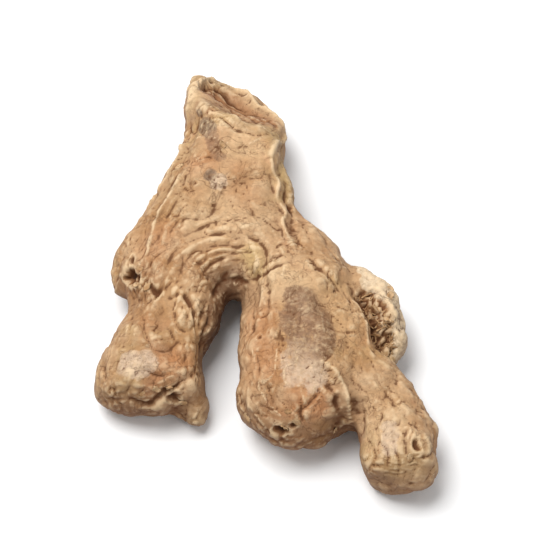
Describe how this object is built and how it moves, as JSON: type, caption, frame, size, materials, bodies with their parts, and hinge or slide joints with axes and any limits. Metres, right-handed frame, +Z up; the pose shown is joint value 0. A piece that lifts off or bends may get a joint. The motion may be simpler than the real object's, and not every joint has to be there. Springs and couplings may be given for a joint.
{
  "type": "dried ginger rhizome",
  "caption": "Whole dried ginger rhizome lying flat: a broken old end, a wrinkled trunk, a blunt finger, a broad lobe that carries another finger, and small buds.",
  "frame": {"origin": "centre of the bounding box in plan, at the level of the surface that the rhizome lies on", "axes": "+Y along the rhizome towards the broken old end, so that the fingers point to -Y; +Z up, out of the flatter side it lies on; +X to the side of the lobe and the pale side bud"},
  "size_m": [0.0646, 0.0908, 0.0179],
  "materials": {
    "dried_skin": "matte"
  },
  "bodies": {
    "root": {"ginger_rhizome": "dried_skin"}
  },
  "joints": []
}
